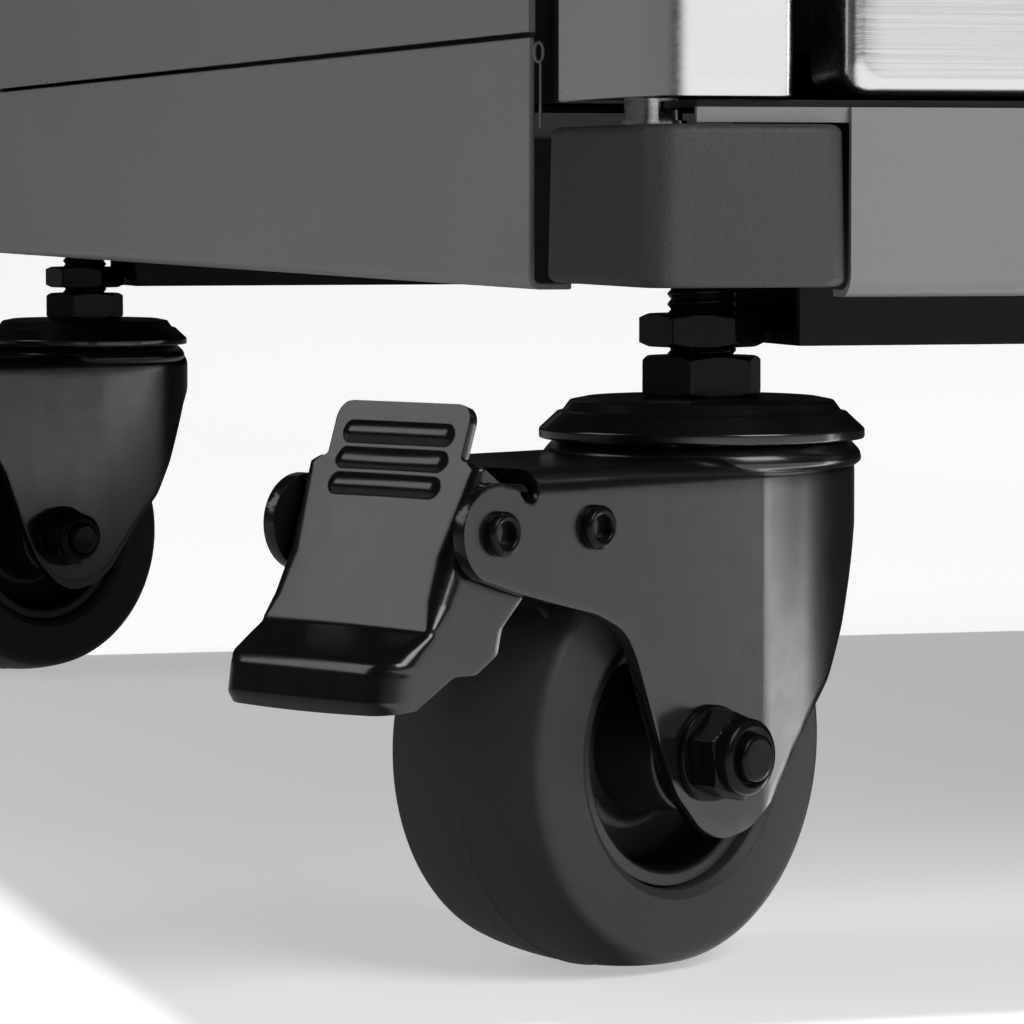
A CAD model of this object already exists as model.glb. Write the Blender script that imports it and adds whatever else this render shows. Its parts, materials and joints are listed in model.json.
# %% [markdown]
# # A rolling tool chest, drawn round its working frame
# The frame holds the sizes, the joints and the collision of a sheet-metal chest on four swivel casters.
# This lesson gives it its looks. Pressed steel, turned steel and moulded plastic are three different kinds
# of shape, so each gets its own small helper, and every finish is a procedural material.

# %% Load the frame and keep its box
import json
import math

import bmesh
import bpy
import numpy as np
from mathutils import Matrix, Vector


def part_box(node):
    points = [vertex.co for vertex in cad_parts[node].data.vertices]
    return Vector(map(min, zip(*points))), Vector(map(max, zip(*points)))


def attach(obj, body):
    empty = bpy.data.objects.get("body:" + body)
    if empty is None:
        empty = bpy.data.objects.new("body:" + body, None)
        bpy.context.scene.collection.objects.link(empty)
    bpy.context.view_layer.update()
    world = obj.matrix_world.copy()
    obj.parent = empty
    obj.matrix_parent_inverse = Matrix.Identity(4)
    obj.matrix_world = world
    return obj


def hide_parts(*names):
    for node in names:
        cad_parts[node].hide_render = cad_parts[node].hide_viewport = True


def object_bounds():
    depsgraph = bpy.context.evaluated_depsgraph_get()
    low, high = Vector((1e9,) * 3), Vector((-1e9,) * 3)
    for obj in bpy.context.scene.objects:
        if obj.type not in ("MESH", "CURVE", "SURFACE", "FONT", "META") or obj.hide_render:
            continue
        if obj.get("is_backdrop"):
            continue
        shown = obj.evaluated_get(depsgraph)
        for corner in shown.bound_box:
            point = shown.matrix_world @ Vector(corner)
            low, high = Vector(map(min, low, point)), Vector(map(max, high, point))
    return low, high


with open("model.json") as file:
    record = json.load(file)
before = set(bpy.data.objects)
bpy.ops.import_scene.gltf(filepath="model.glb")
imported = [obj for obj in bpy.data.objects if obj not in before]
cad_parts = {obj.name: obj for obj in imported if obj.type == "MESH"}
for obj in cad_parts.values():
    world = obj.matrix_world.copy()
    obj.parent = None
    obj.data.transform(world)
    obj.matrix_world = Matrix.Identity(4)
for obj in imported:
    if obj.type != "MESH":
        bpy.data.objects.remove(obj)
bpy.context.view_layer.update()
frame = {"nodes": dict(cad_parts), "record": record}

MM = 0.001
nodes, record = frame["nodes"], frame["record"]
joints = {j["name"]: j for j in record["behaviour"]["joints"]}

# %% [markdown]
# ## Helpers for surfaces
# A grid of points is the plainest surface there is: rows run along one parameter and columns along the
# other. Every shape below is such a grid, so one function turns grids into meshes. Rows or columns that
# meet themselves, as on a turned part, are joined instead of being capped.

# %% Quads of a grid
def grid_faces(rows, cols, wrap_rows=False, wrap_cols=False):
    """Quads of a grid: each joins a point with the next along both parameters, wrapping where asked."""
    i = np.arange(rows if wrap_rows else rows - 1)[:, None]
    j = np.arange(cols if wrap_cols else cols - 1)[None, :]
    i2, j2 = (i + 1) % rows, (j + 1) % cols
    return np.stack([i * cols + j, i * cols + j2, i2 * cols + j2, i2 * cols + j], -1).reshape(-1, 4)


# %% Parts into one mesh object
def placed(name, data):
    """A new object that shows the data, linked into the scene."""
    obj = bpy.data.objects.new(name, data)
    bpy.context.collection.objects.link(obj)
    return obj


def shells(name, parts, smooth=38, outward=True):
    """One object from several (points, faces) parts in millimetres: doubles merged, normals outwards."""
    points, faces, start = [], [], 0
    for p, f in parts:
        p = np.asarray(p, float).reshape(-1, 3)
        points.append(p)
        faces += [(np.asarray(face) + start).tolist() for face in f]
        start += len(p)
    mesh = bpy.data.meshes.new(name)
    mesh.from_pydata((np.vstack(points) * MM).tolist(), [], faces)
    bm = bmesh.new()
    bm.from_mesh(mesh)
    bmesh.ops.remove_doubles(bm, verts=bm.verts, dist=0.00001)
    bmesh.ops.dissolve_degenerate(bm, edges=bm.edges, dist=0.000005)
    if outward:
        bmesh.ops.recalc_face_normals(bm, faces=bm.faces)
    bm.to_mesh(mesh)
    bm.free()
    mesh.shade_smooth()
    mesh.set_sharp_from_angle(angle=math.radians(smooth))
    return placed(name, mesh)


# %% [markdown]
# Hardly any edge of sheet metal or plastic is sharp. An outline is given by its few corners, and a fillet
# puts an arc into each, as a press tool would.

# %% Outlines with rounded corners
def fillet(points, radii, steps=6, closed=True):
    """A polygon with its corners rounded: each corner becomes an arc that is tangent to both its sides."""
    points = np.asarray(points, float)
    radii = np.broadcast_to(np.asarray(radii, float), len(points))
    out = []
    for k, r in enumerate(radii):
        p, a, b = points[k], points[k - 1], points[(k + 1) % len(points)]
        if r <= 0 or (not closed and k in (0, len(points) - 1)):
            out.append(p[None])
            continue
        ea, eb = (a - p) / np.linalg.norm(a - p), (b - p) / np.linalg.norm(b - p)
        half = math.acos(float(np.clip(ea @ eb, -1, 1))) / 2
        reach = min(r / math.tan(half), 0.49 * np.linalg.norm(a - p), 0.49 * np.linalg.norm(b - p))
        r = reach * math.tan(half)
        centre = p + (ea + eb) / np.linalg.norm(ea + eb) * r / math.sin(half)
        t = np.linspace(0, 1, steps + 1)[:, None]
        arm = (1 - t) * (p + ea * reach) + t * (p + eb * reach) - centre
        out.append(centre + arm / np.linalg.norm(arm, axis=1)[:, None] * r)
    return np.vstack(out)


# %% [markdown]
# Three ways of making a body cover most of this chest: an outline turned round an axis, an outline carried
# straight on, and a moulded box. A part can then be laid along any three axes.

# %% Turned, straight and moulded bodies
def turned(profile, around=96):
    """A turned part: x and y are the radius times the cosine and sine of the angle, z is the height."""
    profile = np.asarray(profile, float)
    angle = np.linspace(0, 2 * np.pi, around, endpoint=False)[:, None]
    r = profile[None, :, 0] + 0 * angle
    z = profile[None, :, 1] + 0 * angle
    pts = np.stack([r * np.cos(angle), r * np.sin(angle), z], -1)
    return pts, grid_faces(around, len(profile), True, True)


def carried(outline, a, b):
    """The points of an outline (x, y) at height a and again at height b."""
    z = np.array([a, b])[:, None]
    x, y = outline[None, :, 0], outline[None, :, 1]
    return np.stack([x + 0 * z, y + 0 * z, z + 0 * x], -1)


def extruded(outline, a, b):
    """A bar: a closed outline (x, y) carried straight from height a to height b, with flat ends."""
    outline = np.asarray(outline, float)
    n = len(outline)
    faces = grid_faces(2, n, False, True).tolist() + [list(range(n))[::-1], list(range(n, 2 * n))]
    return carried(outline, a, b), faces


def turn_axes(part, x, y, z, origin=(0, 0, 0)):
    """A part redrawn in a frame whose three axes point along x, y and z, from origin."""
    pts, faces = part
    basis = np.array([x, y, z], float)
    return np.asarray(pts).reshape(-1, 3) @ basis + np.asarray(origin, float), faces


def pillow(low, high, corner=4.0, edge=2.0, draft=0.0, steps=6):
    """A moulded box: a rounded rectangle whose outline draws in along a quarter circle at top and bottom."""
    low, high = np.asarray(low, float), np.asarray(high, float)
    t = np.linspace(0, np.pi / 2, steps + 1)
    inset = np.concatenate([edge * (1 - np.sin(t)), edge * (1 - np.cos(t))])
    z = np.concatenate([low[2] + edge * (1 - np.cos(t)), high[2] - edge * (1 - np.sin(t))])
    inset = inset + draft * (z - low[2]) / (high[2] - low[2])
    corners = [(low[0], low[1]), (high[0], low[1]), (high[0], high[1]), (low[0], high[1])]
    ring = fillet(corners, corner, 8)
    mid, half = (low[:2] + high[:2]) / 2, (high[:2] - low[:2]) / 2
    scale = 1 - inset[:, None] / half[None]
    xy = mid + (ring[None] - mid) * scale[:, None, :]
    pts = np.concatenate([xy, np.broadcast_to(z[:, None, None], xy.shape[:2] + (1,))], -1)
    n, rows = len(ring), len(z)
    faces = grid_faces(rows, n, False, True).tolist()
    return pts, faces + [list(range(n))[::-1], list(range((rows - 1) * n, rows * n))]


# %% Modifiers that finish a piece
def modifier(obj, kind, **values):
    """Adds a modifier of one kind and sets its values."""
    m = obj.modifiers.new(kind.title(), kind)
    for key, value in values.items():
        setattr(m, key, value)
    return m


def soften(obj, width=0.5, segments=2, angle=35):
    """Rounds the edges that are sharper than angle, width millimetres across."""
    modifier(obj, "BEVEL", width=width * MM, segments=segments, limit_method="ANGLE",
             angle_limit=math.radians(angle), harden_normals=False)


# %% [markdown]
# ## Finishes
# Two effects come back in many finishes, so each is a node group that gives out a value: grain, which is
# fine or cloudy by its scale, and streaks along one direction, as brushing leaves them. The shader itself
# stays in each material.

# %% Node groups for grain and streaks
def value_group(name, build):
    """A shader node group with a Vector and a Scale going in and one Value coming out."""
    g = bpy.data.node_groups.new(name, "ShaderNodeTree")
    g.interface.new_socket("Vector", in_out="INPUT", socket_type="NodeSocketVector")
    g.interface.new_socket("Scale", in_out="INPUT", socket_type="NodeSocketFloat")
    g.interface.new_socket("Value", in_out="OUTPUT", socket_type="NodeSocketFloat")
    start, end = g.nodes.new("NodeGroupInput"), g.nodes.new("NodeGroupOutput")
    g.links.new(build(g, start), end.inputs["Value"])
    return g


def noise_into(g, vector, scale, detail=3.0, stretch=None):
    """Noise read along a vector, which is first stretched if asked."""
    if stretch:
        mapping = g.nodes.new("ShaderNodeMapping")
        mapping.inputs["Scale"].default_value = stretch
        g.links.new(vector, mapping.inputs["Vector"])
        vector = mapping.outputs["Vector"]
    noise = g.nodes.new("ShaderNodeTexNoise")
    noise.inputs["Detail"].default_value = detail
    g.links.new(vector, noise.inputs["Vector"])
    g.links.new(scale, noise.inputs["Scale"])
    return noise.outputs["Fac"]


GRAIN = value_group("fine_grain", lambda g, s: noise_into(g, s.outputs["Vector"], s.outputs["Scale"], 4.0))
STREAKS_X = value_group("streaks_along_x", lambda g, s: noise_into(
    g, s.outputs["Vector"], s.outputs["Scale"], 2.0, (0.012, 1.0, 1.0)))
STREAKS_Y = value_group("streaks_along_y", lambda g, s: noise_into(
    g, s.outputs["Vector"], s.outputs["Scale"], 2.0, (1.0, 0.03, 1.0)))
print("node groups:", [g.name for g in bpy.data.node_groups])

# %% [markdown]
# A finish could be one flat colour, but powder coat, plating and brushed steel are told apart by how they
# break up a highlight. One recipe serves them all: the same noise moves the colour a little, widens or
# narrows the gloss, and raises the surface.

# %% Small helpers for node trees
def new_material(name):
    """A material with nodes: the material, its node tree and its shader."""
    m = bpy.data.materials.new(name)
    m.use_nodes = True
    return m, m.node_tree, m.node_tree.nodes["Principled BSDF"]


def math_node(t, op, a, b=None, c=None):
    """A sum in a node tree. Each input is a number or a socket."""
    n = t.nodes.new("ShaderNodeMath")
    n.operation = op
    for socket, v in zip(n.inputs, (a, b, c)):
        if isinstance(v, (int, float)):
            socket.default_value = v
        elif v is not None:
            t.links.new(v, socket)
    return n.outputs[0]


# %% One recipe for the finishes
def finish(name, color, rough, metal=0.0, grain=900, bump=0.05, vary=0.12, group=None, coat=0.0, tone=0.2,
           distance=0.0002):
    """Principled shader: colour, roughness and bump follow the grain, and slow clouds go into the colour.

    The colour runs from color times (1 - tone) to color times (1 + tone), and the roughness from rough times
    (1 - vary) to rough times (1 + vary)."""
    m, t, bsdf = new_material(name)
    where = t.nodes.new("ShaderNodeTexCoord").outputs["Object"]

    def read(g, scale):
        n = t.nodes.new("ShaderNodeGroup")
        n.node_tree = g
        n.inputs["Scale"].default_value = scale
        t.links.new(where, n.inputs["Vector"])
        return n.outputs["Value"]

    def span(value, low, high):
        n = t.nodes.new("ShaderNodeMapRange")
        n.inputs["From Min"].default_value, n.inputs["From Max"].default_value = 0.3, 0.7
        n.inputs["To Min"].default_value, n.inputs["To Max"].default_value = low, high
        t.links.new(value, n.inputs["Value"])
        return n.outputs["Result"]

    fine, slow = read(group or GRAIN, grain), read(GRAIN, 14)
    mix = t.nodes.new("ShaderNodeMix")
    mix.data_type = "RGBA"
    for socket, k in (("A", 1 - tone), ("B", 1 + tone)):
        one = next(i for i in mix.inputs if i.name == socket and i.type == "RGBA")
        one.default_value = (*[min(1, c * k) for c in color], 1)
    blend = math_node(t, "MULTIPLY_ADD", fine, 0.5, math_node(t, "MULTIPLY", slow, 0.5))
    t.links.new(span(blend, 0, 1), mix.inputs["Factor"])
    t.links.new(next(o for o in mix.outputs if o.type == "RGBA"), bsdf.inputs["Base Color"])
    t.links.new(span(fine, rough * (1 - vary), rough * (1 + vary)), bsdf.inputs["Roughness"])
    b = t.nodes.new("ShaderNodeBump")
    b.inputs["Strength"].default_value = bump
    b.inputs["Distance"].default_value = distance
    t.links.new(fine, b.inputs["Height"])
    t.links.new(b.outputs["Normal"], bsdf.inputs["Normal"])
    bsdf.inputs["Metallic"].default_value = metal
    bsdf.inputs["Coat Weight"].default_value = coat
    bsdf.inputs["Coat Roughness"].default_value = 0.12
    return m


# %% The finishes of this chest
STEEL_BLACK = finish("black_gloss_steel", (.006, .0061, .0063), .22, grain=260, bump=.06, coat=.25,
                     distance=.0004)
NUT_BLACK = finish("black_plated_steel", (.008, .008, .0084), .2, .35, grain=700, bump=.08, vary=.25)
GREY = finish("grey_powder_coat", (.245, .25, .246), .44, grain=1300, bump=.1, vary=.08, tone=.05)
STAINLESS = finish("brushed_stainless", (.6, .6, .59), .24, 1.0, 1500, .1, .22, STREAKS_X, tone=.06)
GRAINED = finish("grained_black_plastic", (.042, .042, .0425), .55, grain=1500, bump=.8, tone=.3)
TREAD = finish("wheel_tread", (.038, .0382, .0384), .5, grain=1900, bump=.35, tone=.12)
HUB = finish("moulded_hub", (.012, .012, .0122), .42, grain=1300, bump=.2)
CHROME = finish("bright_steel", (.82, .82, .82), .13, 1.0, grain=500, bump=.03, tone=.04)
ZINC = finish("zinc_plated_steel", (.5, .51, .53), .36, 1.0, grain=90, bump=.05, tone=.1)
ALUMINIUM = finish("satin_aluminium", (.6, .6, .61), .3, 1.0, 1400, .06, .15, STREAKS_X, tone=.05)
TUBE = finish("brushed_tube", (.66, .66, .66), .26, 1.0, 1400, .08, .2, STREAKS_Y, tone=.05)
UNDER = finish("black_chassis_paint", (.008, .008, .0082), .55, grain=500, bump=.15)
for m, specular in ((NUT_BLACK, .14), (TREAD, .25), (UNDER, .2)):
    m.node_tree.nodes["Principled BSDF"].inputs["Specular IOR Level"].default_value = specular
print("materials:", len(bpy.data.materials))

# %% [markdown]
# The worktop is glued up from staves. An image of wood would do, but a procedure fits any size: each stave
# has its own tone, which a stepped coordinate gives, and long noise along the staves draws pores and rings.

# %% Staved wood
def staved_wood(name, width):
    """Wood whose tone steps from stave to stave across Y and whose grain runs along X."""
    m, t, bsdf = new_material(name)
    where = t.nodes.new("ShaderNodeTexCoord").outputs["Object"]
    split = t.nodes.new("ShaderNodeSeparateXYZ")
    t.links.new(where, split.inputs[0])
    across = math_node(t, "DIVIDE", split.outputs["Y"], width)
    stave = math_node(t, "FLOOR", across)
    tone = t.nodes.new("ShaderNodeTexWhiteNoise")
    tone.noise_dimensions = "1D"
    t.links.new(stave, tone.inputs["W"])
    rings = t.nodes.new("ShaderNodeTexNoise")
    mapping = t.nodes.new("ShaderNodeMapping")
    mapping.inputs["Scale"].default_value = (1.4, 60, 60)
    shifted = t.nodes.new("ShaderNodeCombineXYZ")
    along_x = math_node(t, "MULTIPLY_ADD", tone.outputs["Value"], 7.0, split.outputs["X"])
    t.links.new(along_x, shifted.inputs["X"])
    t.links.new(split.outputs["Y"], shifted.inputs["Y"])
    t.links.new(split.outputs["Z"], shifted.inputs["Z"])
    t.links.new(shifted.outputs[0], mapping.inputs["Vector"])
    t.links.new(mapping.outputs[0], rings.inputs["Vector"])
    rings.inputs["Scale"].default_value = 2.2
    rings.inputs["Detail"].default_value = 6
    ramp = t.nodes.new("ShaderNodeValToRGB")
    ramp.color_ramp.elements[0].color = (.30, .15, .07, 1)
    ramp.color_ramp.elements[1].color = (.62, .40, .22, 1)
    grain = math_node(t, "MULTIPLY", rings.outputs["Fac"], .75)
    t.links.new(math_node(t, "MULTIPLY_ADD", tone.outputs["Value"], .35, grain), ramp.inputs["Fac"])
    t.links.new(ramp.outputs["Color"], bsdf.inputs["Base Color"])
    t.links.new(math_node(t, "MULTIPLY_ADD", rings.outputs["Fac"], .2, .32), bsdf.inputs["Roughness"])
    bump = t.nodes.new("ShaderNodeBump")
    bump.inputs["Strength"].default_value = .15
    bump.inputs["Distance"].default_value = .0005
    edge = math_node(t, "ABSOLUTE", math_node(t, "SUBTRACT", math_node(t, "FRACT", across), .5))
    seam = math_node(t, "MULTIPLY", math_node(t, "GREATER_THAN", edge, .494), -1.2)
    t.links.new(math_node(t, "ADD", rings.outputs["Fac"], seam), bump.inputs["Height"])
    t.links.new(bump.outputs["Normal"], bsdf.inputs["Normal"])
    return m


WOOD = staved_wood("oiled_staves", .042)

# %% [markdown]
# ## Putting finishes on the frame's own nodes
# Plain sheets and bars are already right in the frame, so they only take a finish. Everything with a
# soft edge, a pressed bend or a thread is made again further down and stands for its node.

# %% Finishes for every node
by_slot = {"grey_paint": GREY, "stainless": STAINLESS, "black_steel": STEEL_BLACK,
           "grained_plastic": GRAINED, "wheel_tread": TREAD, "hub_plastic": HUB,
           "bright_stud": CHROME, "zinc_steel": ZINC, "pull_aluminium": ALUMINIUM, "handle_tube": TUBE,
           "worktop_wood": WOOD}
painted_black = ("under_rails", "inner_posts", "bottom_pan")       # seen only in gaps and from below
slot_of = {s["node"]: s["material_slot"] for s in record["subparts"]}
body_of = {n: b for b, names in record["behaviour"]["bodies"].items() for n in names}
for name, obj in nodes.items():
    obj.data.materials.clear()
    obj.data.materials.append(UNDER if name in painted_black else by_slot.get(slot_of[name], UNDER))


# %% How a new piece stands for a node
def stands_for(obj, node, material=None):
    """The piece takes over a node: its body, its slot and its place in the model."""
    obj.data.materials.append(material or by_slot.get(slot_of[node], UNDER))
    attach(obj, body_of[node])
    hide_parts(node)
    print(obj.name, len(obj.data.polygons), "faces, for", node)
    return obj


def corners(node):
    """Lowest and highest corner of a node, in millimetres."""
    low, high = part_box(node)
    return np.array(low) / MM, np.array(high) / MM


# %% [markdown]
# ## A caster's own axes
# Each caster stands at its own angle, so its pieces are drawn in its own axes: u runs from the swivel to
# the wheel, w along the axle and z up. The joints of the frame say where those axes lie.

# %% Axes of the four casters
wheel_radius = float(corners("tyre_fl")[1][2] - corners("tyre_fl")[0][2]) / 2


def caster_axes(key):
    """Origin under the swivel, and the directions u, w and z, from the swivel and the wheel joints."""
    swivel = np.array(joints["swivel_turn_" + key]["pos_m"]) / MM
    wheel = np.array(joints["wheel_roll_" + key]["pos_m"]) / MM
    origin = np.array([swivel[0], swivel[1], 0.0])
    u = wheel - swivel
    u[2] = 0
    trail = float(np.linalg.norm(u))
    u = u / trail
    w = np.array(joints["wheel_roll_" + key]["axis"], float)
    return {"origin": origin, "u": u, "w": w, "z": np.array([0, 0, 1.0]), "trail": trail}


def rivets_of(key, axes):
    """Distances along u, and the height, of the pedal's and the shoe's rivets."""
    pedal = np.array(joints["pedal_press_" + key]["pos_m"]) / MM - axes["origin"]
    shoe = np.array(joints["shoe_press_" + key]["pos_m"]) / MM - axes["origin"]
    return float(pedal @ axes["u"]), float(shoe @ axes["u"]), float(pedal[2])


def in_caster(part, axes):
    """A part drawn in (u, w, z) moved to its caster's place."""
    return turn_axes(part, axes["u"], axes["w"], axes["z"], axes["origin"])


def on_axle(part, axes):
    """A part turned about Z, laid with its axis along the axle, through the wheel's centre."""
    centre = axes["origin"] + axes["u"] * axes["trail"] + axes["z"] * wheel_radius
    return turn_axes(part, axes["u"], -axes["z"], axes["w"], centre)


casters = {key: caster_axes(key) for key in ("fl", "rl", "fr", "rr")}
print("trail:", round(casters["fl"]["trail"], 2), "wheel radius:", round(wheel_radius, 2))

# %% [markdown]
# ## Wheels
# The tread is moulded round a hard core and is a turned shape: a slightly crowned running face, soft
# shoulders, a flat side ring and a lip where it meets the core. A fine parting line runs round the crown.

# %% The tread
WHEEL_HALF = 17.5        # half the wheel's width
LIP_RADIUS = 23.7        # where the tread ends and the core begins


def tyre_profile():
    """Closed outline (radius, width) of the tread: a crown that falls with the square of the width."""
    w = np.linspace(-13.6, 13.6, 41)
    line = 0.22 * np.exp(-(w / 0.35) ** 2)
    crown = np.stack([wheel_radius - 1.3 * (w / 13.6) ** 2 + line, w], -1)
    shoulder = fillet([(wheel_radius - 1.3, 13.6), (wheel_radius - 2.2, WHEEL_HALF),
                       (LIP_RADIUS + 1.6, WHEEL_HALF + .1), (LIP_RADIUS, WHEEL_HALF - .9),
                       (LIP_RADIUS - .7, 10)], [1.5, 3.2, .5, .7, .3], 6, closed=False)
    far = shoulder[::-1] * [1, -1]
    return np.vstack([far, crown[1:-1], shoulder])


# %% The core, and all four wheels
def hub_part():
    """Dished core: rim wall under the tread, a web on each side, and a boss on the sleeve."""
    outer, boss = LIP_RADIUS - .6, 11.0
    half = [(outer, 15.2), (outer - 2.4, 15.2), (outer - 3.6, 6.5), (boss + 2, 4.5), (boss, 7),
            (boss - .8, 19.4), (6.15, 19.4)]
    half = fillet(half, [.3, .8, 2.2, 2.2, 1.2, .8, .2], 5, closed=False)
    return turned(np.vstack([half, half[::-1] * [1, -1]]), 96)


for key, axes in casters.items():
    tyre = shells("wheel_tread_" + key, [on_axle(turned(tyre_profile(), 160), axes)], 50)
    stands_for(tyre, "tyre_" + key)
    hub = shells("wheel_core_" + key, [on_axle(hub_part(), axes)])
    stands_for(hub, "hub_" + key)

# %% [markdown]
# ## Forks
# A fork is pressed from one plate: a flat top, two legs and a back that wraps round the swivel. Its wall
# is the plan line carried downwards, so the grid's columns follow that line, and its rows run from the
# lower edge up the wall, over the bend and in to the middle of the top.

# %% The fork's sizes and its lower edge
LEG_HALF = 23.2                      # from the middle to a leg's outer face
FORK_PLATE = 2.5                     # thickness of the plate
BEND = 3.8                           # radius of the bend between legs and top
TOP_Z = 2 * wheel_radius + 11.5      # upper face of the fork
CREASE_U = 10.0                      # where the flat leg ends and the back begins
BACK_U = -30.0                       # furthest point of the back
EAR_START = 9.1                      # the top plate stops this far before the pedal's rivet
EAR_RADIUS = 8.2                     # round end of a leg about the rivet
SLOT_BACK = 6.8                      # a half-round slot in the leg's upper edge, this far behind the rivet
SLOT_RADIUS = 2.1


def leg_edge(u, braked, trail):
    """Height of the leg's lower edge at u: a line that dips round the axle, with its corners rounded."""
    z0 = wheel_radius
    line = [(-28, z0 + 41), (-22.5, z0 + 35.4), (-19.2, z0 + 28.3), (-15.1, z0 + 19), (-9.8, z0 + 10.2),
            (-3.2, z0 + 3.9), (3.4, z0 - 3.8), (7.9, z0 - 9.7), (13.7, z0 - 13.7), (20.9, z0 - 15.2),
            (26.4, z0 - 12.5), (32.4, z0 - 6.1), (36.6, z0 + 2.7), (39.4, z0 + 10), (42.2, z0 + 17.2)]
    line += [(45, z0 + 22), (52, z0 + 25.2), (62, z0 + 27.5), (70, z0 + 29.5), (trail + 54, z0 + 32)] \
        if braked else [(trail + 30, z0 + 40)]
    line = fillet(line, 9, 4, closed=False)
    return np.interp(u, line[:, 0], line[:, 1])


# %% [markdown]
# The back could be half a cylinder, but the real plate is fuller: it leaves the legs at a crease and turns
# late. A superellipse gives that with one exponent.

# %% The fork's plan and its wall
def plan_line(u_end):
    """Plan of the outer wall: a straight leg, a crease that turns it in, and a superellipse at the back."""
    straight = np.linspace(u_end, CREASE_U, 110)[:-1]
    t = np.linspace(0, np.pi, 121)
    c, s = np.cos(t), np.sin(t)
    run = np.abs(s) ** .8
    back_u = CREASE_U - (CREASE_U - BACK_U) * run
    back_w = np.sign(c) * np.abs(c) ** .8 * (LEG_HALF - 3 * run * (1 - run))
    u = np.concatenate([straight, back_u, straight[::-1]])
    w = np.concatenate([np.full(len(straight), LEG_HALF), back_w, np.full(len(straight), -LEG_HALF)])
    return u, w


def fork_wall(u_end, braked, trail):
    """The pressed shell: wall, quarter-round bend and flat top, as one grid over the plan line."""
    u, w = plan_line(u_end)
    low = leg_edge(u, braked, trail)
    spine = np.clip(u, CREASE_U - 8, None)
    inward = np.stack([spine - u, -w], -1)
    reach = np.linalg.norm(inward, axis=1, keepdims=True)
    step = inward / reach
    rise = np.linspace(0, 1, 22)[:, None]
    wall_z = low + (TOP_Z - BEND - low) * rise
    zero = np.zeros_like(rise)
    a = np.linspace(0, np.pi / 2, 9)[1:, None]
    top = np.linspace(0, 1, 8)[1:, None]
    shift = np.concatenate([zero + 0 * u, BEND * (1 - np.cos(a)) + 0 * u, BEND + (reach[:, 0] - BEND) * top])
    z = np.concatenate([wall_z, TOP_Z - BEND + BEND * np.sin(a) + 0 * u, TOP_Z + 0 * u + 0 * top])
    pts = np.stack([u + step[:, 0] * shift, w + step[:, 1] * shift, z], -1)
    return pts, grid_faces(len(z), len(u))


# %% The ears round the pedal's rivet
def ear(side, trail, pedal_u, rivet_z):
    """The leg's rounded end beyond the top plate, between its lower edge and a circle round the rivet.

    The upper line has a half-round slot in it, whose depth is the height of a circle at u."""
    r = EAR_RADIUS
    t = np.linspace(0, 1, 60)
    u = pedal_u - EAR_START + (EAR_START + r) * np.sin(t * np.pi / 2)
    arc = np.sqrt(np.clip(r * r - (u - pedal_u) ** 2, 0, None))
    start_z = TOP_Z - BEND
    slope = start_z + (u - pedal_u + EAR_START) / EAR_START * (r + rivet_z - start_z)
    up = np.where(u > pedal_u, rivet_z + arc, slope)
    dip = np.sqrt(np.clip(SLOT_RADIUS ** 2 - (u - pedal_u + SLOT_BACK) ** 2, 0, None))
    up = up - dip
    low = np.maximum(leg_edge(u, True, trail), np.where(u > pedal_u + 2, rivet_z - arc, -1e3))
    v = np.linspace(0, 1, 22)[:, None]
    z = low + (up - low) * v
    pts = np.stack([u + 0 * z, side * LEG_HALF + 0 * z, z], -1)
    return pts, grid_faces(len(v), len(u))


# %% The ring under the cap, and all four forks
def swivel_race():
    """Ring with a round edge on the fork's top, just under the cap's rim: a turned outline."""
    z = TOP_Z
    outline = [(26.6, z - 2.6), (27.9, z - 1.6), (27.6, z), (26.0, z + 1.75), (20, z + 1.75), (19, z - .2),
               (24, z - 2.6)]
    return turned(fillet(outline, [.8, 1, 2, 1.0, .8, .5, .5], 6), 128)


for key, axes in casters.items():
    braked = key in ("fl", "rl")
    trail = axes["trail"]
    if braked:
        pedal_u, shoe_u, rivet_z = rivets_of(key, axes)
        end = pedal_u - EAR_START
    else:
        end = trail + 21
    parts = [in_caster(fork_wall(end, braked, trail), axes)]
    if braked:
        parts += [in_caster(ear(s, trail, pedal_u, rivet_z), axes) for s in (1, -1)]
    shell = shells("fork_shell_" + key, parts, 40)
    modifier(shell, "SOLIDIFY", thickness=FORK_PLATE * MM, offset=-1, use_even_offset=False)
    soften(shell, .45, 2, 50)
    stands_for(shell, "fork_" + key)
    race = shells("swivel_race_" + key, [in_caster(swivel_race(), axes)])
    race.data.materials.append(STEEL_BLACK)
    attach(race, body_of["fork_" + key])

# %% [markdown]
# ## Caps, stems and nuts
# A nut is a prism cut by two cones. As a function of angle and height its radius is the smaller of the
# two, which gives the curved chamfers for nothing. A thread is a radius that rises and falls with height
# minus a turn of the angle.

# %% Nuts
def hex_radius(angle, flats, lean=0.0):
    """Radius of a hexagon, flats across, at an angle: half its flats over the cosine to the nearest flat."""
    a = (angle - lean + np.pi / 6) % (np.pi / 3) - np.pi / 6
    return flats / 2 / np.cos(a)


def nut(flats, low, high, bore, lean=0.0, chamfer=.45):
    """Hexagon cut by a cone at each end, closed inwards to the bore."""
    tip = flats / 2 * .99
    heights = np.unique(np.concatenate([np.linspace(low, low + 1.6, 12), np.linspace(high - 1.6, high, 12)]))
    a = np.linspace(0, 2 * np.pi, 240, endpoint=False)[:, None]
    cone = tip + np.minimum(heights - low, high - heights) / chamfer
    outer = np.minimum(hex_radius(a, flats, lean), cone[None])
    inner = np.full((240, 1), bore)
    r = np.concatenate([inner, outer, inner], 1)
    z = np.concatenate([[low], heights, [high]])[None] + 0 * r
    pts = np.stack([r * np.cos(a), r * np.sin(a), z], -1)
    return pts, grid_faces(240, r.shape[1], True, True)


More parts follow.
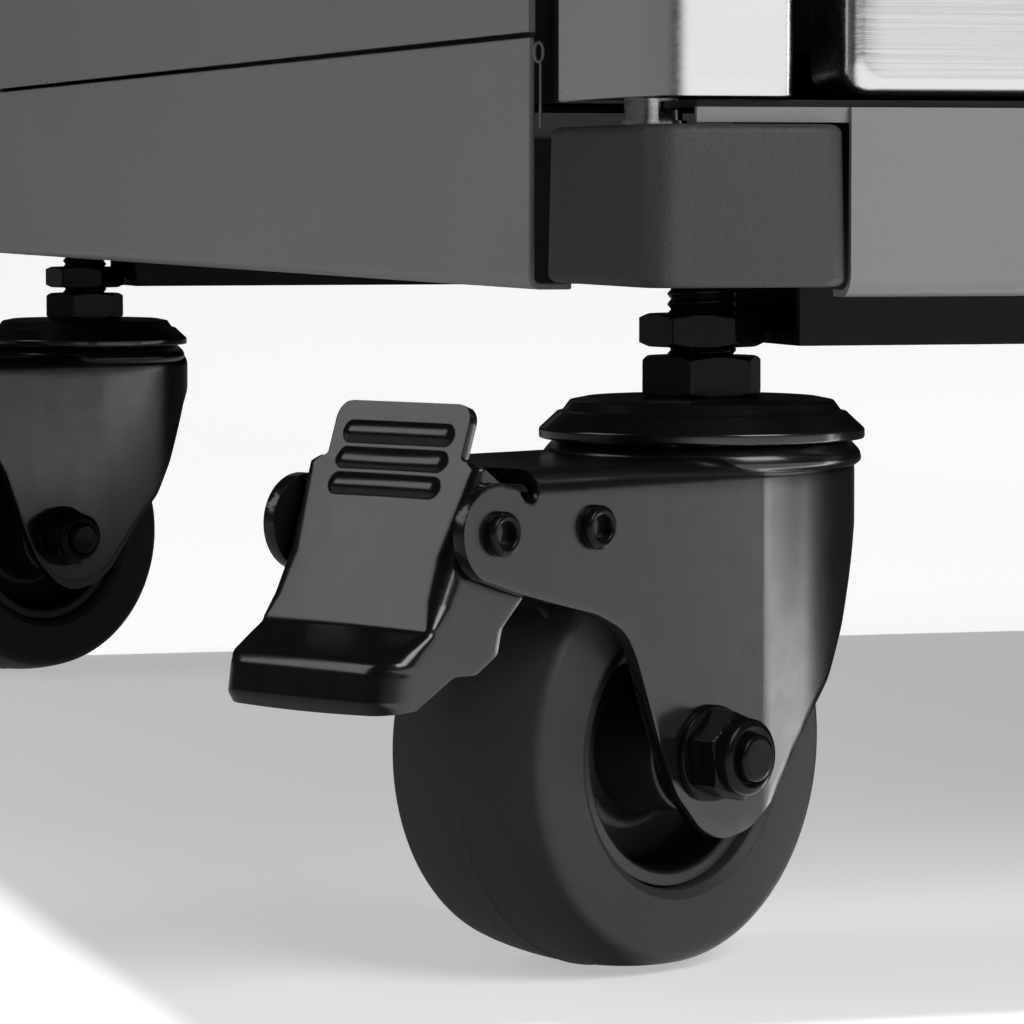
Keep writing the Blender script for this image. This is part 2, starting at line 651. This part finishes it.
# %% Threads
def thread(radius, low, high, pitch=1.75, depth=.62, start=0.0):
    """A screw: the radius falls and rises once in every pitch of height, less a turn of the angle."""
    z = np.linspace(low, high, max(8, int((high - low) / pitch * 14)))
    a = np.linspace(0, 2 * np.pi, 64, endpoint=False)[:, None]
    phase = ((z[None] - start) / pitch - a / (2 * np.pi)) % 1
    groove = np.clip(1 - np.abs(phase - .5) / .42, 0, 1)
    r = radius - depth * groove
    pts = np.stack([r * np.cos(a), r * np.sin(a), z[None] + 0 * r], -1)
    n = len(z)
    ends = [[i * n for i in range(64)], [i * n + n - 1 for i in range(64)][::-1]]
    return pts, grid_faces(64, n, True, False).tolist() + ends


# %% Caps, stems and jam nuts on every caster
cap_z = TOP_Z + 9.3                                      # flat top of the cap
rim_z = TOP_Z + 2.1                                      # underside of its rim
block_z = float(corners("corner_block_fl")[0][2])
NUT_FLATS = 19                                           # across flats, for a 12 mm thread
LOWER_TURN, UPPER_TURN = math.radians(31.7), math.radians(13.9)      # how far each nut is screwed round
cap_profile = fillet([(5, rim_z + 2.6), (20, rim_z + 2.6), (24.5, rim_z), (28.4, rim_z), (28.4, rim_z + 1.7),
                      (25.2, cap_z - 2.5), (24.3, cap_z - 2.35), (23.0, cap_z - .55), (20.2, cap_z),
                      (5, cap_z)],
                     [0, 1, .6, .45, .6, .3, .4, .8, 1.2, 0], 5)


def on_stem(part, axes):
    """A part turned about Z, moved on to a caster's stem."""
    return turn_axes(part, (1, 0, 0), (0, 1, 0), (0, 0, 1), axes["origin"])


caps = shells("bearing_caps", [on_stem(turned(cap_profile, 144), a) for a in casters.values()])
stands_for(caps, "swivel_caps")
stem_parts, nut_parts = [], []
king_pin = [(.01, TOP_Z - 5.3), (9, TOP_Z - 5.3), (9, TOP_Z - 2.8), (5, TOP_Z - 2.8), (5, cap_z - .8),
            (.01, cap_z - .8)]
for axes in casters.values():
    stem_parts += [on_stem(thread(6, cap_z - 1, block_z + 9), axes), on_stem(turned(king_pin, 48), axes)]
    nut_parts += [on_stem(nut(NUT_FLATS, cap_z, cap_z + 7.1, 5.4, LOWER_TURN), axes),
                  on_stem(nut(NUT_FLATS, cap_z + 8.7, cap_z + 14.4, 5.4, UPPER_TURN), axes)]
stands_for(shells("threaded_stems", stem_parts, 60), "caster_stems", NUT_BLACK)
stands_for(shells("jam_nuts", nut_parts, 24), "stem_nuts", NUT_BLACK)

# %% [markdown]
# ## Axles and rivets
# The axle is a bolt with a lock nut, whose plain collar holds a nylon ring. The rivets are tubes whose
# ends are rolled over, so from the side each is a ring round a hole.

# %% Bolt and lock nut
def axle_parts():
    """Bolt head at one end, and washer, nut, collar and tip at the other: prisms and turned outlines."""
    collar = fillet([(4.1, 29), (6.7, 29), (6.45, 32.4), (5.2, 32.9), (4.1, 32.6)], [0, .3, 1.3, .5, 0], 6)
    tip = fillet([(.01, 20), (4, 20), (4, 34), (3.2, 34.3), (.01, 34.3)], [0, 0, .5, .3, 0], 4)
    washer = fillet([(4, 23.2), (8.2, 23.2), (8.2, 24.5), (4, 24.5)], .3, 3)
    sleeve = [(4.2, -20.5), (6, -20.5), (6, 20.5), (4.2, 20.5)]
    return [turned(collar, 72), turned(tip, 48), turned(washer, 72), turned(sleeve, 48),
            nut(13.3, 24.5, 30.2, 4.0, math.radians(8)), nut(13, -28.5, -23.2, .01, 0),
            turned([(.01, -24), (4, -24), (4, 20.5), (.01, 20.5)], 32)]


# %% Tubular rivets, and the axles of all casters
def rivet(side):
    """Rolled end of a tube on the leg's outer face: a torus-like rim round a hollow."""
    h = LEG_HALF
    rim = fillet([(2.0, 20.6), (3.0, 20.6), (3.0, h - .1), (3.7, h - .1), (3.7, h + 1.2), (3.0, h + 2.0),
                  (2.1, h + 1.7)], [0, 0, .2, .3, .8, .7, .5], 6)
    return turned(rim * [1, side], 64)


for key, axes in casters.items():
    parts = [on_axle(p, axes) for p in axle_parts()]
    if key in ("fl", "rl"):
        pedal_u, shoe_u, rivet_z = rivets_of(key, axes)
        for u in (pedal_u, shoe_u):
            centre = axes["origin"] + axes["u"] * u + axes["z"] * rivet_z
            pin = turned([(1.9, -20.6), (2.95, -20.6), (2.95, 20.6), (1.9, 20.6)], 32)
            parts += [turn_axes(p, axes["u"], -axes["z"], axes["w"], centre)
                      for p in (rivet(1), rivet(-1), pin)]
    stands_for(shells("axle_and_rivets_" + key, parts, 30), "axle_" + key, NUT_BLACK)

# %% [markdown]
# ## Brake pedals
# The pedal is one blank. Its face follows a bent line down to a rolled toe, its two sides fold back, and
# three ribs are pressed into the tab. One grid holds all of it: rows follow the bent line, and columns
# run from the back edge of one side, round the fold, across the face and down the other side.

# %% A line in equal steps, and its normals
def evenly(line, count):
    """A line sampled at equal steps of its own length."""
    line = np.asarray(line, float)
    run = np.concatenate([[0], np.cumsum(np.linalg.norm(np.diff(line, axis=0), axis=1))])
    t = np.linspace(0, run[-1], count)
    return np.stack([np.interp(t, run, line[:, i]) for i in (0, 1)], -1)


def normals(line):
    """Unit normals of a line: its direction of travel turned a quarter to the left."""
    tangent = np.gradient(line, axis=0)
    tangent /= np.linalg.norm(tangent, axis=1)[:, None]
    return np.stack([-tangent[:, 1], tangent[:, 0]], -1)


# %% The pedal as one grid
PEDAL_PLATE = 1.8                    # thickness of the foot plate
RIB_HEIGHTS = (15.5, 11.1, 6.9)      # above the rivet
RIB_HALF = 10.8                      # half the length of a rib's straight part


def pedal_grid():
    """Face, folds and sides in (u, w, z) from the pedal's rivet.

    A row runs from a side's back line to the face, round the fold as a quarter circle, and across the
    face, which a rib lifts by a parabola of the distance from its middle line."""
    half, tab_half = 19.7, 15.3      # half widths of the face and of the tab above it
    face = fillet([(-2.1, 20.5), (1.2, 11), (12.5, -15.4), (22.0, -20.2), (22.9, -26.6), (21.8, -28.3)],
                  [0, 20, 2.4, 3.4, 1.4, 0], 10, False)
    edge = fillet([(1.1, 11.4), (-.6, 10), (-6, 6.5), (-8, 0), (-9.1, -8), (-9.1, -10.9), (-4.1, -15.7),
                   (-3.1, -19.9), (1.9, -22.9), (6.9, -22.8), (15.6, -27.6)],
                  [0, 1, 3, 4, 2, 1.5, 1.2, 2, 3, 3, 0], 5, False)
    face = evenly(face, 240)
    shoulder = int(np.argmax(face[:, 1] < 11.2))
    back = face.copy()
    back[shoulder:] = evenly(edge, len(face) - shoulder)
    z = face[:, 1]
    drop = np.clip((12.0 - z) / 2.2, 0, 1)
    width = tab_half + (half - tab_half) * drop * drop * (3 - 2 * drop)
    corner = np.clip(3 - (20.5 - z), 0, 3)
    width = width - (3 - np.sqrt(9 - corner ** 2))
    depth = np.linalg.norm(face - back, axis=1)
    away = (face - back) / np.maximum(depth, 1e-6)[:, None]
    r = np.interp(-z, [-20, -11, -8, 4, 11, 14.8, 17.5, 21, 28.3],
                  [1.6, 1.6, 2.2, 4.2, 3.2, 1.4, 3.0, 5.7, 5.7])
    r = np.minimum(r, depth * .9)
    # across the face
    across = np.linspace(-1, 1, 101)
    w_face = across[None] * (width - r)[:, None]
    run = np.concatenate([[0], np.cumsum(np.linalg.norm(np.diff(face, axis=0), axis=1))])
    lift = np.zeros_like(w_face)
    for rib_z in RIB_HEIGHTS:
        at = run[int(np.argmin(np.abs(z - rib_z)))]
        off = np.hypot(np.clip(np.abs(w_face) - RIB_HALF, 0, None), (run - at)[:, None])
        lift = np.maximum(lift, .7 * np.clip(1 - (off / 1.9) ** 2, 0, 1))
    crown = .35 * (1 - across[None] ** 2) * drop[:, None]
    plate = face[:, None] + normals(face)[:, None] * (lift + crown)[..., None]
    # fold and side
    t = np.linspace(0, np.pi / 2, 8)[1:-1]
    fold_uz = face[:, None] - away[:, None] * (r[:, None] * (1 - np.cos(t)))[..., None]
    fold_w = (width - r)[:, None] + r[:, None] * np.sin(t)
    q = np.linspace(0, 1, 12)
    start = face - away * r[:, None]
    side_uz = start[:, None] + (back - start)[:, None] * q[None, :, None]
    side_w = width[:, None] + 0 * q[None]
    uz = np.concatenate([side_uz[:, ::-1], fold_uz[:, ::-1], plate, fold_uz, side_uz], 1)
    w = np.concatenate([-side_w[:, ::-1], -fold_w[:, ::-1], w_face, fold_w, side_w], 1)
    return np.stack([uz[..., 0], w, uz[..., 1]], -1), grid_faces(*w.shape)


# %% Both pedals
for key in ("fl", "rl"):
    axes = casters[key]
    pedal_u, shoe_u, rivet_z = rivets_of(key, axes)
    pts, faces = pedal_grid()
    pts = pts.reshape(-1, 3) + [pedal_u, 0, rivet_z]
    plate = shells("foot_plate_" + key, [in_caster((pts, faces), axes)], 55)
    modifier(plate, "SOLIDIFY", thickness=PEDAL_PLATE * MM, offset=-1, use_even_offset=False)
    soften(plate, .35, 2, 55)
    stands_for(plate, "brake_pedal_" + key)

# %% [markdown]
# ## Corner blocks
# Each block is a moulding with a soft upper edge and a little draft, so its outline draws in slightly
# towards the top. The grain is in the finish.

# %% Four moulded blocks
for key in casters:
    low, high = corners("corner_block_" + key)
    block = shells("corner_moulding_" + key, [pillow(low, high, 5.5, 1.6, .5)], 40)
    stands_for(block, "corner_block_" + key)

# %% [markdown]
# ## Stainless columns and drawer fronts
# A column is a folded sheet, so its plan is a bent line carried upwards. A drawer front is a shallow pan
# whose four edges are rolled, which is the moulded box again with a larger radius.

# %% Columns
SHEET = 1.2      # thickness of the chest's sheet metal
for side, name in ((-1, "front_column_left"), (1, "front_column_right")):
    low, high = corners(name)
    x_in, x_out = (high[0], low[0]) if side < 0 else (low[0], high[0])
    line = [(x_out - side * 1.5, high[1]), (x_out, high[1] - 2), (x_out, low[1]), (x_in, low[1]),
            (x_in, high[1])]
    bent = fillet(line, [0, 1.5, 7, 2.2, 0], 10, closed=False)
    sheet = (carried(bent, low[2], high[2]), grid_faces(2, len(bent)))
    column = shells(name.replace("front_column", "column_cladding"), [sheet], 60, False)
    modifier(column, "SOLIDIFY", thickness=SHEET * MM, offset=1 if side < 0 else -1)
    soften(column, .3, 2, 60)
    stands_for(column, name)

# %% Drawer fronts
for n in range(1, 5):
    name = f"drawer_front_{n}"
    low, high = corners(name)
    outline = pillow((low[0], -high[2], low[1]), (high[0], -low[2], high[1]), 4.5, 3.2)
    part = turn_axes(outline, (1, 0, 0), (0, 0, -1), (0, 1, 0))
    stands_for(shells(f"drawer_face_{n}", [part], 40), name)

# %% [markdown]
# ## Sheet edges, pulls, handle and worktop
# What a hand or an eye meets on sheet metal is its folded edge. Each profile is a bent line given a
# thickness, carried along the panel.

# %% Bent profiles
def ribbon(line, thick):
    """A closed outline round an open line: the line, and the same line moved thick along its normals."""
    line = np.asarray(line, float)
    return np.vstack([line, (line + normals(line) * thick)[::-1]])


def along(outline, a, b, direction):
    """An outline (across, height) carried along X or along Y."""
    part = extruded(outline, a, b)
    if direction == "x":
        return turn_axes(part, (0, 1, 0), (0, 0, 1), (1, 0, 0))
    return turn_axes(part, (1, 0, 0), (0, 0, 1), (0, 1, 0))


# %% Side skirts
low, high = corners("side_skirts")
seam_top = high[2]
SKIRT_LIP = 8      # width of the lip along the lower edge
sides = []
for side in (-1, 1):
    x = side * high[0]
    line = fillet([(x, seam_top), (x, low[2]), (x - side * SKIRT_LIP, low[2])], [0, 2.2, 0], 8, closed=False)
    sides.append(along(ribbon(line, -side * SHEET), low[1], high[1], "y"))
skirts = shells("side_skirt_pressings", sides, 40)
soften(skirts, .35, 2, 60)
stands_for(skirts, "side_skirts")

# %% [markdown]
# The kick panel is one bent sheet between the corner blocks. Its upper strip runs on over the blocks as far
# as the column's studs, so two flat strips continue it there.

# %% Kick panel
low, high = corners("front_skirt")
BLOCK_GAP = .3                                # air between the panel and a block
reach = abs(low[0])
inner = float(corners("corner_block_fr")[0][0]) - BLOCK_GAP
top = high[2]
line = fillet([(low[1], top), (low[1], low[2]), (high[1], low[2])], [0, 3.0, 0], 8, closed=False)
strip_low = float(corners("corner_block_fr")[1][2]) + BLOCK_GAP
back_face = low[1] + SHEET
strips = [along([(low[1], strip_low), (back_face, strip_low), (back_face, top), (low[1], top)], a, b, "x")
          for a, b in ((-reach, -inner), (inner, reach))]
skirt = shells("kick_panel", [along(ribbon(line, -SHEET), -inner, inner, "x")] + strips, 40)
stands_for(skirt, "front_skirt")

# %% [markdown]
# Where the side's lower strip meets the seam, the blank has a relief: a small loop that lets the metal
# bend without tearing, with the thin edge of the return running down from it. Each is a thin round wire
# whose centre line is an oval or a straight run.

# %% A round wire
def wire(path, radius, closed, around=12):
    """Circles of one radius stood square to the path, which lies in a plane of constant y.

    A point is the path plus the radius times the cosine along the in-plane normal and the sine along y."""
    path = np.asarray(path, float)
    tangent = np.gradient(path, axis=0) if not closed else np.roll(path, -1, 0) - np.roll(path, 1, 0)
    tangent /= np.linalg.norm(tangent, axis=1)[:, None]
    flat = np.stack([-tangent[:, 2], 0 * tangent[:, 0], tangent[:, 0]], -1)
    a = np.linspace(0, 2 * np.pi, around, endpoint=False)
    ring = flat[:, None] * np.cos(a)[None, :, None] + np.array([0, 1, 0]) * np.sin(a)[None, :, None]
    pts = path[:, None] + ring * radius
    faces = grid_faces(len(path), around, closed, True).tolist()
    if not closed:
        n = len(path)
        faces += [list(range(around)), list(range((n - 1) * around, n * around))[::-1]]
    return pts, faces


# %% Relief loops at the seam
low, high = corners("side_skirts")
block_top = float(corners("corner_block_fl")[1][2])
reliefs = []
for side in (-1, 1):
    x, y = side * (high[0] - 1.9), low[1] + .1
    t = np.linspace(0, 2 * np.pi, 40, endpoint=False)
    oval = np.stack([x + .8 * np.cos(t), y + 0 * t, seam_top - 2.6 + 1.7 * np.sin(t)], -1)
    down = np.linspace(seam_top - 4.2, block_top, 20)
    run = np.stack([np.full(20, x - side * .3), np.full(20, y), down], -1)
    reliefs += [wire(oval, .32, True), wire(run, .28, False)]
relief = shells("seam_reliefs", reliefs, 60)
relief.data.materials.append(GREY)
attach(relief, "chest")
print(relief.name, len(relief.data.polygons), "faces")

# %% [markdown]
# A pull is a bent strip that hooks over the upper edge of a drawer front, so it is a ribbon again. The side
# handle is a plain round bar, and the worktop is a thick board with rounded edges.

# %% Pulls
for n in range(1, 5):
    low, high = corners(f"drawer_pull_{n}")
    back = high[1] - .3
    line = fillet([(back, low[2]), (back, high[2]), (low[1], high[2]), (low[1], high[2] - 13)],
                  [0, 4, 5, 0], 8, closed=False)
    pull = shells(f"pull_bar_{n}", [along(ribbon(line, 2.2), low[0], high[0], "x")], 40)
    soften(pull, .5, 2, 60)
    stands_for(pull, f"drawer_pull_{n}")

# %% Side handle
low, high = corners("side_handle")
centre, radius = (low + high) / 2, float(high[2] - low[2]) / 2
half = float(high[1] - low[1]) / 2
bar = fillet([(.01, -half), (radius, -half), (radius, half), (.01, half)], [0, 3, 3, 0], 8)
grip = shells("push_bar", [turn_axes(turned(bar, 72), (1, 0, 0), (0, 0, 1), (0, -1, 0), centre)])
stands_for(grip, "side_handle")

# %% Worktop
low, high = corners("worktop")
top = shells("staved_worktop", [pillow(low, high, 8, 3, 0, 7)], 40)
stands_for(top, "worktop")

# %% [markdown]
# ## Floor, light and camera
# The floor is pale and the light soft. Gloss black shows hardly anything but what it mirrors, so the
# mirrored room matters more than the lamps. Cards and boxes could stand around the chest, but here one
# function of the heading does it: a broad glow in front and to the right, a narrow bright band at the right,
# which draws the upright highlight on the fork's bend, and a weak glow behind and to the left. Floor and sky
# both use it, the sky far more dimly.

# %% Brightness by heading
FRONT_GLOW = ((.405, -.914, 0), .4, .8, .04, 1.35)
SIDE_BAND = ((.999, -.04, 0), .992, .997, 0, 5.5)
BACK_GLOW = ((-.808, .589, 0), -.1, .5, 0, .2)


def lobe(t, heading, axis, start, end, low, high):
    """Low where heading times axis is under start, high where it is over end, and an S-curve between."""
    dot = t.nodes.new("ShaderNodeVectorMath")
    dot.operation = "DOT_PRODUCT"
    dot.inputs[1].default_value = axis
    t.links.new(heading, dot.inputs[0])
    span = t.nodes.new("ShaderNodeMapRange")
    span.interpolation_type = "SMOOTHSTEP"
    for key, value in zip(("From Min", "From Max", "To Min", "To Max"), (start, end, low, high)):
        span.inputs[key].default_value = value
    t.links.new(dot.outputs["Value"], span.inputs["Value"])
    return span.outputs["Result"]


def by_heading(t, heading):
    """The sum of the three glows."""
    front, band, behind = [lobe(t, heading, *glow) for glow in (FRONT_GLOW, SIDE_BAND, BACK_GLOW)]
    return math_node(t, "ADD", math_node(t, "ADD", front, band), behind)


# %% The floor's mesh and its paper
FLOOR_HALF = 60.0
floor_mesh = bpy.data.meshes.new("floor")
square = [(-1, -1, 0), (1, -1, 0), (1, 1, 0), (-1, 1, 0)]
floor_mesh.from_pydata((np.array(square) * FLOOR_HALF).tolist(), [], [(0, 1, 2, 3)])
floor = placed("floor", floor_mesh)
paper, t, shader = new_material("pale_floor")
speck = t.nodes.new("ShaderNodeTexNoise")
speck.inputs["Scale"].default_value = 3.0
level = t.nodes.new("ShaderNodeMapRange")
level.inputs["To Min"].default_value, level.inputs["To Max"].default_value = .62, .66
t.links.new(speck.outputs["Fac"], level.inputs["Value"])
t.links.new(level.outputs["Result"], shader.inputs["Roughness"])
shader.inputs["Base Color"].default_value = (.8, .8, .8, 1)
shader.inputs["Emission Color"].default_value = (1, 1, 1, 1)
floor_mesh.materials.append(paper)
floor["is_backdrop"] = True

# %% [markdown]
# To the eye the floor is paper with a little light of its own, which lifts the shadows. To a mirror ray it
# is the heading's brightness, measured from the front left stem.

# %% What the floor shows to the eye and to mirrors
FLOOR_LIFT = .44
stem = casters["fl"]["origin"] * MM
rays = t.nodes.new("ShaderNodeLightPath")
lift = math_node(t, "MULTIPLY", rays.outputs["Is Camera Ray"], FLOOR_LIFT)
t.links.new(lift, shader.inputs["Emission Strength"])
offset = t.nodes.new("ShaderNodeVectorMath")
offset.operation = "SUBTRACT"
offset.inputs[1].default_value = tuple(stem)
t.links.new(t.nodes.new("ShaderNodeTexCoord").outputs["Object"], offset.inputs[0])
unit = t.nodes.new("ShaderNodeVectorMath")
unit.operation = "NORMALIZE"
t.links.new(offset.outputs["Vector"], unit.inputs[0])
glow = t.nodes.new("ShaderNodeEmission")
t.links.new(by_heading(t, unit.outputs["Vector"]), glow.inputs["Strength"])
choose = t.nodes.new("ShaderNodeMixShader")
t.links.new(rays.outputs["Is Glossy Ray"], choose.inputs[0])
t.links.new(shader.outputs[0], choose.inputs[1])
t.links.new(glow.outputs[0], choose.inputs[2])
t.links.new(choose.outputs[0], t.nodes["Material Output"].inputs["Surface"])
print("floor nodes:", len(t.nodes))

# %% [markdown]
# The sky is white to the eye. Mirrors see the heading's brightness in it, and all other light rays see that
# plus an even amount. Both are times the background's colour, which stays at the dark grey of a new world.

# %% The sky
SKY_SEEN = 1.05
SKY_EVEN = .52
world = bpy.data.worlds.new("studio")
bpy.context.scene.world = world
world.use_nodes = True
t = world.node_tree
back = t.nodes["Background"]
path = t.nodes.new("ShaderNodeLightPath")
mix = t.nodes.new("ShaderNodeMixShader")
seen = t.nodes.new("ShaderNodeBackground")
seen.inputs["Color"].default_value = (1, 1, 1, 1)
seen.inputs["Strength"].default_value = SKY_SEEN
heading = t.nodes.new("ShaderNodeTexCoord")
even = math_node(t, "MULTIPLY_ADD", path.outputs["Is Glossy Ray"], -SKY_EVEN, SKY_EVEN)
strength = math_node(t, "ADD", by_heading(t, heading.outputs["Generated"]), even)
t.links.new(strength, back.inputs["Strength"])
t.links.new(path.outputs["Is Camera Ray"], mix.inputs[0])
t.links.new(back.outputs[0], mix.inputs[1])
t.links.new(seen.outputs[0], mix.inputs[2])
t.links.new(mix.outputs[0], t.nodes["World Output"].inputs["Surface"])
print("sky nodes:", len(t.nodes), "colour:", [round(v, 3) for v in back.inputs["Color"].default_value])


# %% Two soft boxes and the sun
def soft_box(name, place, aim, side, power):
    """A square light at a place, turned to face its aim. Places are in metres."""
    data = bpy.data.lights.new(name, "AREA")
    data.shape = "RECTANGLE"
    data.size, data.size_y, data.energy = side, side, power
    obj = placed(name, data)
    obj.location = place
    obj.rotation_euler = (Vector(aim) - Vector(place)).to_track_quat("-Z", "Y").to_euler()


aim = (stem[0], stem[1], .08)
soft_box("box_front", (stem[0] + .9, stem[1] - 1.6, 1.4), aim, 1.2, 28)
soft_box("box_high_left", (stem[0] - 1.3, stem[1] + .3, .9), aim, .8, 3.6)
sun_data = bpy.data.lights.new("sun", "SUN")
sun_data.energy, sun_data.angle = 2.0, math.radians(.6)
sun = placed("sun", sun_data)
sun.rotation_euler = Vector((-.08, -.022, -1)).to_track_quat("-Z", "Y").to_euler()

# %% [markdown]
# The camera stands low and close to the front left caster, with a long lens, as one would show the brake.

# %% Camera
camera_data = bpy.data.cameras.new("camera")
camera_data.sensor_width = 36
camera_data.lens = 175.8
camera_data.clip_end = 200
camera = placed("camera", camera_data)
camera.location = (stem[0] - .2733, stem[1] - .8277, .1327)
camera.rotation_euler = (math.radians(90 - 3.69), 0, math.radians(-16.1))
bpy.context.scene.camera = camera
bpy.context.scene.view_settings.view_transform = "Standard"
print("camera at", [round(float(v), 3) for v in camera.location])

# %% Sizes for comparison, and the end
low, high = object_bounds()
print("visual box:", [round(v, 4) for v in low], [round(v, 4) for v in high])
